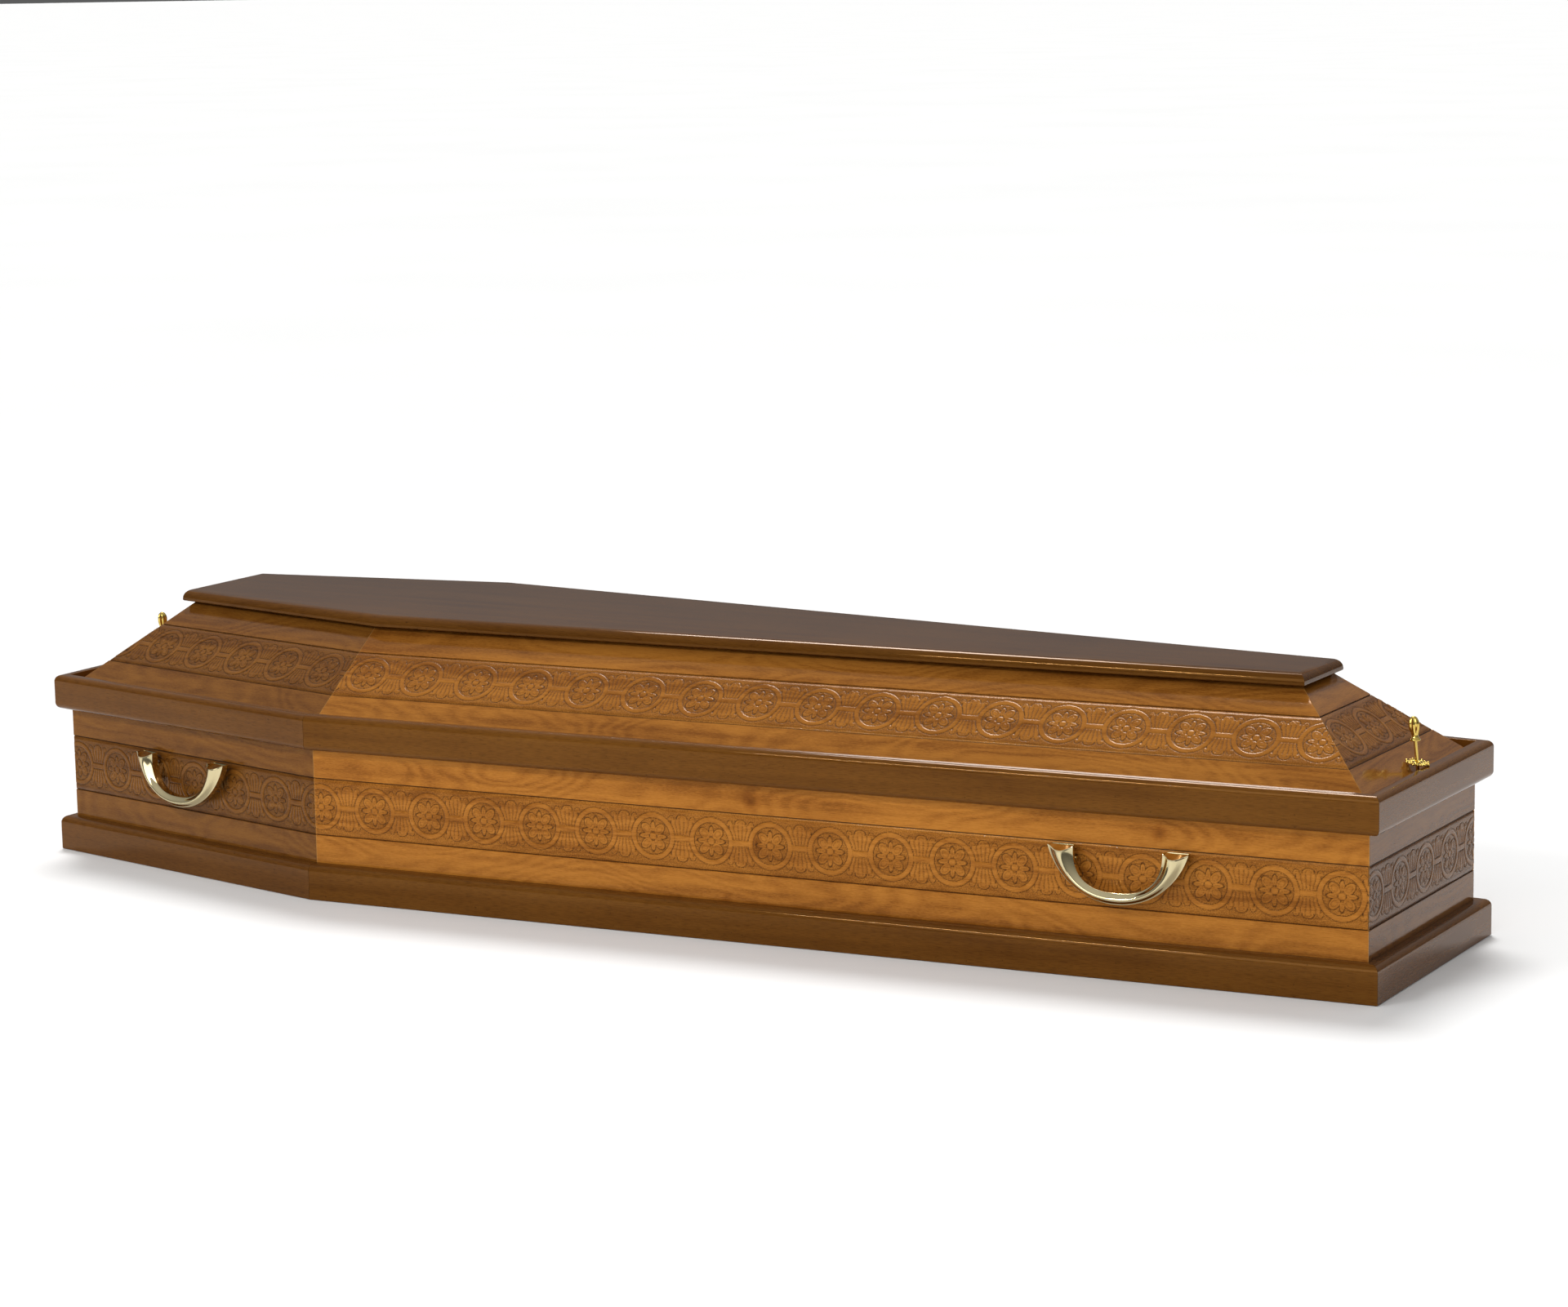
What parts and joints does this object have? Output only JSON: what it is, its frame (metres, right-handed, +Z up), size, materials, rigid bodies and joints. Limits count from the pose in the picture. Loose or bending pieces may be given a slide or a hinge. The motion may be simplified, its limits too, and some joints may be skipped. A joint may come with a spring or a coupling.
{
  "type": "coffin",
  "caption": "Six-sided wooden coffin with a lift-off hipped lid, pressed medallion friezes, rounded mouldings, fixed crescent handles and lid screws.",
  "frame": {"origin": "on the floor under the middle of the coffin's bounding box", "axes": "+X along the length towards the foot end, +Y across towards the back, +Z up"},
  "size_m": [2.037, 0.6372, 0.3745],
  "materials": {
    "panel_wood": "honey-brown stained hardwood under glossy varnish",
    "moulding_wood": "walnut-brown stained mouldings under glossy varnish",
    "handle_brass": "polished pale brass plating",
    "screw_brass": "polished yellow brass"
  },
  "bodies": {
    "root": {"bottom_board": "panel_wood", "box_shoulder_front": "panel_wood", "box_side_front": "panel_wood", "box_foot": "panel_wood", "box_side_back": "panel_wood", "box_shoulder_back": "panel_wood", "box_head": "panel_wood", "lid_slope_shoulder_front": "panel_wood", "lid_slope_side_front": "panel_wood", "lid_slope_foot": "panel_wood", "lid_slope_side_back": "panel_wood", "lid_slope_shoulder_back": "panel_wood", "lid_slope_head": "panel_wood", "base_moulding_shoulder_front": "moulding_wood", "base_moulding_side_front": "moulding_wood", "base_moulding_foot": "moulding_wood", "base_moulding_side_back": "moulding_wood", "base_moulding_shoulder_back": "moulding_wood", "base_moulding_head": "moulding_wood", "rim_moulding_shoulder_front": "moulding_wood", "rim_moulding_side_front": "moulding_wood", "rim_moulding_foot": "moulding_wood", "rim_moulding_side_back": "moulding_wood", "rim_moulding_shoulder_back": "moulding_wood", "rim_moulding_head": "moulding_wood", "lid_top": "moulding_wood", "handle_shoulder_front": "handle_brass", "handle_side_front": "handle_brass", "handle_side_back": "handle_brass", "handle_shoulder_back": "handle_brass", "lid_screw_foot": "screw_brass", "lid_screw_head": "screw_brass", "screw_rosette_foot": "screw_brass", "screw_rosette_head": "screw_brass"}
  },
  "joints": []
}
